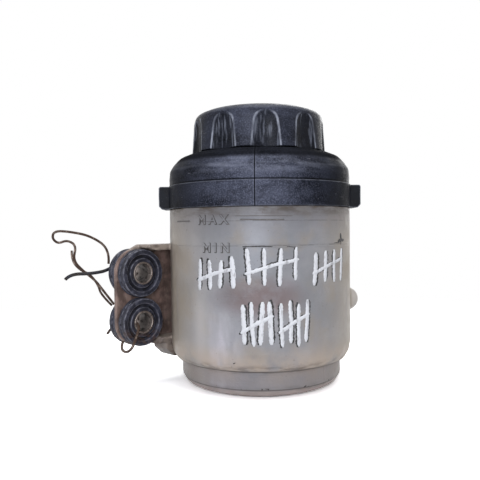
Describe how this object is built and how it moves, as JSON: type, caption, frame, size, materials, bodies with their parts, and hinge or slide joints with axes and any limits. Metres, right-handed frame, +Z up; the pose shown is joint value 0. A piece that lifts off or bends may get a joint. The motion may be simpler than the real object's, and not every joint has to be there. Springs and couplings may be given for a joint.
{
  "type": "power steering reservoir",
  "caption": "Power steering fluid reservoir: translucent round vessel, black clipped collar, fluted screw cap, side bracket with rubber bushes, return and outlet hose connections.",
  "frame": {"origin": "centre of the flat underside of the base, on the vessel's axis", "axes": "+Z up along the vessel's axis, -Y towards the level marks, bracket on the -X side"},
  "size_m": [0.142, 0.1065, 0.1249],
  "materials": {
    "translucent_plastic": "aged translucent moulded plastic",
    "black_plastic": "scuffed black moulded plastic",
    "liner_plastic": "natural moulded plastic",
    "mesh_nylon": "fine nylon mesh",
    "seal_rubber": "soft black rubber",
    "bush_rubber": "moulded black rubber",
    "sleeve_steel": "worn zinc-plated steel",
    "clip_steel": "spring steel",
    "rusty_wire": "rusty iron wire",
    "dark_wire": "dark annealed iron wire"
  },
  "bodies": {
    "tank": {"vessel": "translucent_plastic", "bracket": "translucent_plastic", "base_cup": "translucent_plastic", "collar": "black_plastic", "collar_seal": "seal_rubber", "strainer_frame": "liner_plastic", "strainer_mesh": "mesh_nylon", "baffle_post": "liner_plastic", "baffle": "liner_plastic", "baffle_clip": "clip_steel", "bush_upper": "bush_rubber", "bush_lower": "bush_rubber", "sleeve_upper": "sleeve_steel", "sleeve_lower": "sleeve_steel", "tie_wire_front": "rusty_wire", "tie_wire_loop": "rusty_wire", "tie_wire_stick": "dark_wire"},
    "liner": {"cap_liner": "liner_plastic", "cap_seal": "seal_rubber", "vent_valve": "seal_rubber"},
    "cap": {"filler_cap": "black_plastic"}
  },
  "joints": [
    {"name": "cap_lift", "type": "slide", "parent": "tank", "child": "liner", "axis": [0, 0, 1], "range_m": [0, 0.04]},
    {"name": "cap_turn", "type": "hinge", "parent": "liner", "child": "cap", "pos_m": [0, 0, 0.119], "axis": [0, 0, 1], "range_deg": [0, 450]}
  ]
}
